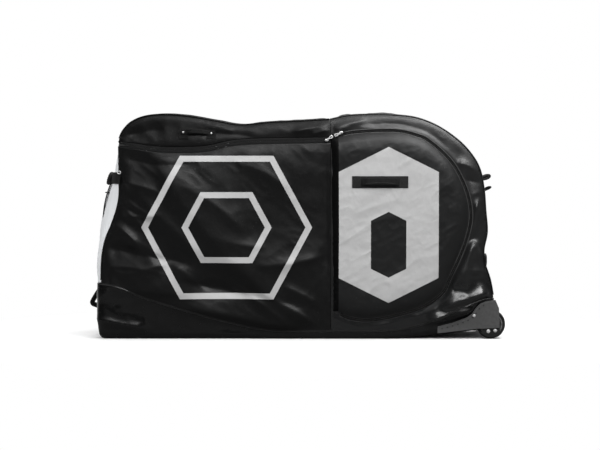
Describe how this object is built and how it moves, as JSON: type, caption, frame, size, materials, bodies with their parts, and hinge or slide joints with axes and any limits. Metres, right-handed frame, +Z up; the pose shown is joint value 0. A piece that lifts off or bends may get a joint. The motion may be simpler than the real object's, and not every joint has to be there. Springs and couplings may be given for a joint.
{
  "type": "soft bicycle travel bag",
  "caption": "Long padded travel bag for a bicycle, with a zipped lid, two zipped wheel pockets, webbing handles, end straps and two rear wheels.",
  "frame": {"origin": "centre of the bag's length and depth, on the floor under it", "axes": "+X towards the wheels, -Y towards the near side with the printed panel, +Z up"},
  "size_m": [1.3191, 0.3222, 0.7135],
  "materials": {
    "black_fabric": "coated polyester pack cloth, fine weave",
    "pale_fabric": "light grey pack cloth",
    "tarpaulin": "glossy coated tarpaulin",
    "webbing": "woven polyester webbing",
    "zip_black": "coil zip and tape",
    "nickel": "bright nickel plate",
    "guard_plastic": "moulded charcoal plastic, fine grain",
    "black_plastic": "moulded acetal",
    "tyre_rubber": "moulded polyurethane tyre",
    "wheel_grey": "moulded nylon hub",
    "board_grey": "twin-wall plastic board"
  },
  "bodies": {
    "root": {"back_axle": "nickel", "back_axle_plate": "black_plastic", "back_cheek_rivet_1": "nickel", "back_cheek_rivet_2": "nickel", "back_corner_guard": "guard_plastic", "back_guard_rivet": "nickel", "back_pocket_divider": "black_fabric", "back_pocket_hinge_strip": "black_fabric", "back_pocket_surround": "black_fabric", "back_pocket_zip_tape": "zip_black", "back_side_panel": "black_fabric", "base_board": "board_grey", "end_buckle_socket": "black_plastic", "end_strap_back": "webbing", "end_strap_front": "webbing", "front_axle": "nickel", "front_axle_plate": "black_plastic", "front_cheek_rivet_1": "nickel", "front_cheek_rivet_2": "nickel", "front_corner_guard": "guard_plastic", "front_guard_rivet": "nickel", "front_pocket_divider": "black_fabric", "front_pocket_hinge_strip": "black_fabric", "front_pocket_surround": "black_fabric", "front_pocket_zip_tape": "zip_black", "front_side_panel": "black_fabric", "left_end_panel": "pale_fabric", "main_zip_body_tape": "zip_black", "tail_buckle_socket": "black_plastic", "tail_gusset": "black_fabric", "tail_strap_back": "webbing", "tail_strap_front": "webbing", "tail_tabs": "webbing", "tow_loop": "webbing", "tub_skin": "tarpaulin"},
    "lid": {"lid_top_panel": "black_fabric", "lid_front_yoke": "black_fabric", "lid_back_yoke": "black_fabric", "main_zip_lid_tape": "zip_black", "lid_front_handle": "webbing", "lid_back_handle": "webbing"},
    "front_door": {"front_pocket_door": "black_fabric", "front_door_handle": "webbing"},
    "back_door": {"back_pocket_door": "black_fabric", "back_door_handle": "webbing"},
    "end_plug": {"end_buckle_plug": "black_plastic"},
    "tail_plug": {"tail_buckle_plug": "black_plastic"},
    "main_front_slider": {"main_zip_front_slider": "nickel"},
    "main_front_pull": {"main_zip_front_pull": "nickel"},
    "front_pocket_slider": {"front_pocket_slider": "nickel"},
    "front_pocket_pull": {"front_pocket_pull": "nickel"},
    "front_wheel": {"front_tyre": "tyre_rubber", "front_wheel_hub": "wheel_grey"},
    "main_back_slider": {"main_zip_back_slider": "nickel"},
    "main_back_pull": {"main_zip_back_pull": "nickel"},
    "back_pocket_slider": {"back_pocket_slider": "nickel"},
    "back_pocket_pull": {"back_pocket_pull": "nickel"},
    "back_wheel": {"back_tyre": "tyre_rubber", "back_wheel_hub": "wheel_grey"}
  },
  "joints": [
    {"name": "lid_hinge", "type": "hinge", "parent": "root", "child": "lid", "pos_m": [0.10495, 0, 0.69882], "axis": [0, 1, 0], "range_deg": [0, 110]},
    {"name": "front_door_hinge", "type": "hinge", "parent": "root", "child": "front_door", "pos_m": [0.12717, -0.1475, 0.36317], "axis": [0, 0, -1], "range_deg": [0, 110]},
    {"name": "main_front_slider_run", "type": "slide", "parent": "root", "child": "main_front_slider", "axis": [-0.9995, 0, -0.0329], "range_m": [0, 0.6]},
    {"name": "main_front_pull_flip", "type": "hinge", "parent": "main_front_slider", "child": "main_front_pull", "pos_m": [0.09165, -0.1345, 0.62958], "axis": [0.5843, 0, -0.8115], "range_deg": [0, 165]},
    {"name": "front_pocket_slider_run", "type": "slide", "parent": "root", "child": "front_pocket_slider", "axis": [0.9722, 0, 0.2342], "range_m": [0, 0.06]},
    {"name": "front_pocket_pull_flip", "type": "hinge", "parent": "front_pocket_slider", "child": "front_pocket_pull", "pos_m": [0.13735, -0.1345, 0.65309], "axis": [-0.4392, 0, 0.8984], "range_deg": [0, 165]},
    {"name": "front_wheel_spin", "type": "hinge", "parent": "root", "child": "front_wheel", "pos_m": [0.61351, -0.1125, 0.0463], "axis": [0, 1, 0], "continuous": true},
    {"name": "back_door_hinge", "type": "hinge", "parent": "root", "child": "back_door", "pos_m": [0.12717, 0.1475, 0.36317], "axis": [0, 0, 1], "range_deg": [0, 110]},
    {"name": "main_back_slider_run", "type": "slide", "parent": "root", "child": "main_back_slider", "axis": [-0.9995, 0, -0.0329], "range_m": [0, 0.6]},
    {"name": "main_back_pull_flip", "type": "hinge", "parent": "main_back_slider", "child": "main_back_pull", "pos_m": [0.09165, 0.1345, 0.62958], "axis": [-0.5843, 0, 0.8115], "range_deg": [0, 165]},
    {"name": "back_pocket_slider_run", "type": "slide", "parent": "root", "child": "back_pocket_slider", "axis": [0.9722, 0, 0.2342], "range_m": [0, 0.06]},
    {"name": "back_pocket_pull_flip", "type": "hinge", "parent": "back_pocket_slider", "child": "back_pocket_pull", "pos_m": [0.13735, 0.1345, 0.65309], "axis": [0.4392, 0, -0.8984], "range_deg": [0, 165]},
    {"name": "back_wheel_spin", "type": "hinge", "parent": "root", "child": "back_wheel", "pos_m": [0.61351, 0.1125, 0.0463], "axis": [0, 1, 0], "continuous": true},
    {"name": "end_buckle_release", "type": "slide", "parent": "root", "child": "end_plug", "axis": [0, 1, 0], "range_m": [0, 0.022]},
    {"name": "tail_buckle_release", "type": "slide", "parent": "root", "child": "tail_plug", "axis": [0, 1, 0], "range_m": [0, 0.022]}
  ]
}
